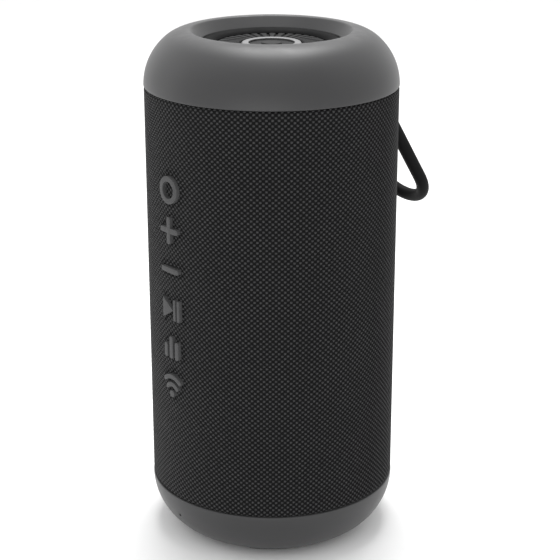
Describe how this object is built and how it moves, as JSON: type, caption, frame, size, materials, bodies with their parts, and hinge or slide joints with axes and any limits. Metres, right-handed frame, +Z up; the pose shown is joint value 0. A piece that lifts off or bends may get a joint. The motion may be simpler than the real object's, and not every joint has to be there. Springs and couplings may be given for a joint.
{
  "type": "shower speaker",
  "caption": "Upright waterproof cylinder speaker with soft end caps, a woven sleeve, a column of raised buttons, a ribbed radiator at each end and a carry loop.",
  "frame": {"origin": "on the cylinder's axis, on the surface the speaker stands on (the underside of the foot ring)", "axes": "+Z up along the cylinder; the buttons face -Y; the carry loop and charging port are on the +Y side; +X to the right seen from the buttons"},
  "size_m": [0.09, 0.1166, 0.186],
  "materials": {
    "cap_rubber": "soft matte rubberised grey",
    "foot_rubber": "matte black",
    "sleeve_fabric": "woven black and dark grey",
    "barrel_plastic": "moulded black",
    "seal_foam": "closed-cell foam, matte",
    "frame_plastic": "moulded black",
    "screw_steel": "bright zinc",
    "surround_rubber": "satin black",
    "disc_plastic": "moulded dark grey",
    "weight_steel": "plain steel",
    "medallion_metal": "satin silver",
    "button_rubber": "matte mid grey",
    "patch_fabric": "woven black and dark grey",
    "sealing_silicone": "silicone sheet",
    "board_green": "solder mask green",
    "switch_metal": "stamped",
    "magnet_grey": "ferrite and zinc",
    "cone_paper": "coated paper",
    "coil_copper": "enamelled copper wire",
    "cell_wrap": "shrink wrap",
    "strap_plastic": "moulded black",
    "component_black": "moulded packages",
    "module_metal": "tinned shield",
    "socket_metal": "stamped steel",
    "port_plastic": "moulded black",
    "port_rubber": "matte black",
    "loop_rubber": "smooth satin black",
    "pin_steel": "plain steel",
    "capsule_metal": "satin",
    "lead_red": "insulated flat lead"
  },
  "bodies": {
    "body": {"top_cap": "cap_rubber", "bottom_cap": "cap_rubber", "foot_ring": "foot_rubber", "fabric_sleeve": "sleeve_fabric", "cabinet": "barrel_plastic", "top_seal_ring": "seal_foam", "bottom_seal_ring": "seal_foam", "top_radiator_frame": "frame_plastic", "bottom_radiator_frame": "frame_plastic", "top_frame_screws": "screw_steel", "bottom_frame_screws": "screw_steel", "top_radiator_surround": "surround_rubber", "bottom_radiator_surround": "surround_rubber", "button_seal": "sealing_silicone", "button_board": "board_green", "button_switches": "switch_metal", "button_bracket": "frame_plastic", "bracket_screws": "screw_steel", "driver_frame_right": "frame_plastic", "driver_frame_left": "frame_plastic", "driver_magnet_right": "magnet_grey", "driver_magnet_left": "magnet_grey", "driver_surround_right": "surround_rubber", "driver_surround_left": "surround_rubber", "driver_gaskets": "seal_foam", "driver_screws": "screw_steel", "battery_cell_right": "cell_wrap", "battery_cell_left": "cell_wrap", "battery_straps": "strap_plastic", "chassis_plate": "strap_plastic", "main_board": "board_green", "board_components": "component_black", "wireless_module": "module_metal", "board_screws": "screw_steel", "usb_socket": "socket_metal", "port_housing": "port_plastic", "port_cover_anchor": "port_rubber", "loop_mount": "port_plastic", "loop_pins": "pin_steel", "microphone": "capsule_metal", "battery_lead": "lead_red"},
    "top_radiator": {"top_radiator_disc": "disc_plastic", "top_radiator_weight": "weight_steel", "medallion_ring": "medallion_metal", "medallion_dot": "disc_plastic"},
    "bottom_radiator": {"bottom_radiator_disc": "disc_plastic", "bottom_radiator_weight": "weight_steel"},
    "power_button": {"power_button": "button_rubber", "power_button_patch": "patch_fabric"},
    "volume_up_button": {"volume_up_button": "button_rubber"},
    "volume_down_button": {"volume_down_button": "button_rubber"},
    "play_pause_button": {"play_pause_button": "button_rubber"},
    "mode_button": {"mode_button": "button_rubber"},
    "pairing_button": {"pairing_button": "button_rubber"},
    "driver_cone_right": {"driver_cone_right": "cone_paper", "voice_coil_right": "coil_copper"},
    "driver_cone_left": {"driver_cone_left": "cone_paper", "voice_coil_left": "coil_copper"},
    "carry_loop": {"carry_loop": "loop_rubber"},
    "port_cover": {"port_cover": "port_rubber"}
  },
  "joints": [
    {"name": "power_button_press", "type": "slide", "parent": "body", "child": "power_button", "axis": [0, 1, 0], "range_m": [0, 0.0007], "stiffness_N_per_m": 400},
    {"name": "volume_up_button_press", "type": "slide", "parent": "body", "child": "volume_up_button", "axis": [0, 1, 0], "range_m": [0, 0.0007], "stiffness_N_per_m": 400},
    {"name": "volume_down_button_press", "type": "slide", "parent": "body", "child": "volume_down_button", "axis": [0, 1, 0], "range_m": [0, 0.0007], "stiffness_N_per_m": 400},
    {"name": "play_pause_button_press", "type": "slide", "parent": "body", "child": "play_pause_button", "axis": [0, 1, 0], "range_m": [0, 0.0007], "stiffness_N_per_m": 400},
    {"name": "mode_button_press", "type": "slide", "parent": "body", "child": "mode_button", "axis": [0, 1, 0], "range_m": [0, 0.0007], "stiffness_N_per_m": 400},
    {"name": "pairing_button_press", "type": "slide", "parent": "body", "child": "pairing_button", "axis": [0, 1, 0], "range_m": [0, 0.0007], "stiffness_N_per_m": 400},
    {"name": "top_radiator_travel", "type": "slide", "parent": "body", "child": "top_radiator", "axis": [0, 0, 1], "range_m": [-0.002, 0.002], "stiffness_N_per_m": 1000, "deforming": ["top_radiator_surround"]},
    {"name": "bottom_radiator_travel", "type": "slide", "parent": "body", "child": "bottom_radiator", "axis": [0, 0, 1], "range_m": [-0.002, 0.002], "stiffness_N_per_m": 1000, "deforming": ["bottom_radiator_surround"]},
    {"name": "driver_cone_right_travel", "type": "slide", "parent": "body", "child": "driver_cone_right", "axis": [1, 0, 0], "range_m": [-0.0015, 0.0015], "stiffness_N_per_m": 600, "deforming": ["driver_surround_right"]},
    {"name": "driver_cone_left_travel", "type": "slide", "parent": "body", "child": "driver_cone_left", "axis": [-1, 0, 0], "range_m": [-0.0015, 0.0015], "stiffness_N_per_m": 600, "deforming": ["driver_surround_left"]},
    {"name": "carry_loop_hinge", "type": "hinge", "parent": "body", "child": "carry_loop", "pos_m": [0, 0.0392, 0.1525], "axis": [1, 0, 0], "range_deg": [-10, 57]},
    {"name": "port_cover_hinge", "type": "hinge", "parent": "body", "child": "port_cover", "pos_m": [0, 0.04435, 0.0315], "axis": [-1, 0, 0], "range_deg": [0, 105]}
  ]
}
